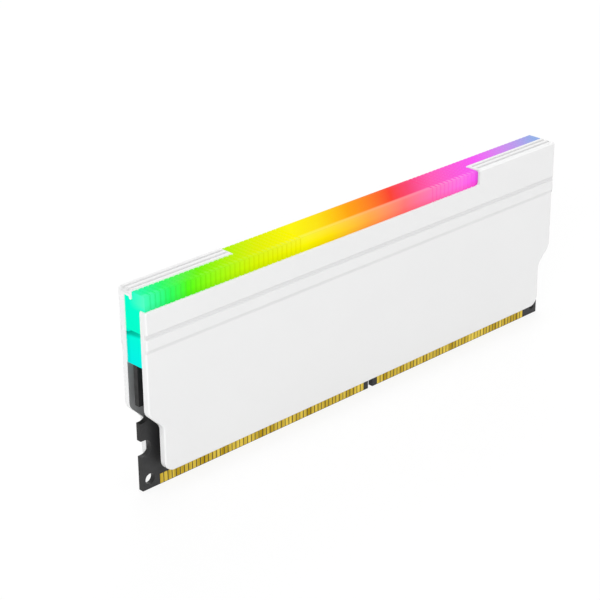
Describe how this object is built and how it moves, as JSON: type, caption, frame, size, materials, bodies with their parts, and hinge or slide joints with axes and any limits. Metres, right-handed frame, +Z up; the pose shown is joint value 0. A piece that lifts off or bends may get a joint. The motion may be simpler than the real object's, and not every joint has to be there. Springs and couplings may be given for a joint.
{
  "type": "memory module heat spreader",
  "caption": "Two-plate aluminium heat spreader with a fluted light bar along its top, on its memory board with side latch notches and edge contacts.",
  "frame": {"origin": "middle of the board's bottom contact edge, which is the bottom centre of the bounding box", "axes": "+X along the module's length, +Y through its thickness towards the rear plate, +Z up from the contact edge to the light bar"},
  "size_m": [0.1336, 0.0088, 0.0477],
  "materials": {
    "white_coat": "smooth white powder coat on aluminium",
    "light_bar": "translucent diffuser, lit from inside in a run of colours",
    "light_guide": "translucent block, lit from inside",
    "board_mask": "black solder mask over glass-fibre board",
    "gold_contact": "gold-plated copper",
    "chip_mould": "moulded black epoxy",
    "thermal_pad": "soft grey thermal pad",
    "adhesive": "white double-sided foam tape",
    "emitter": "white light-emitter package",
    "small_ceramic": "dark resistor array",
    "capacitor_ceramic": "tan ceramic capacitor"
  },
  "bodies": {
    "root": {"plate_front": "white_coat", "plate_rear": "white_coat", "diffuser": "light_bar", "light_guide": "light_guide", "board": "board_mask", "contacts_front": "gold_contact", "contacts_rear": "gold_contact", "memory_chips_front": "chip_mould", "memory_chips_rear": "chip_mould", "light_controller": "chip_mould", "identity_chip": "chip_mould", "thermal_pad_front": "thermal_pad", "thermal_pad_rear": "thermal_pad", "tape_front": "adhesive", "tape_rear": "adhesive", "leds_front": "emitter", "leds_rear": "emitter", "resistor_arrays_front": "small_ceramic", "resistor_arrays_rear": "small_ceramic", "capacitors_front": "capacitor_ceramic", "capacitors_rear": "capacitor_ceramic"}
  },
  "joints": []
}
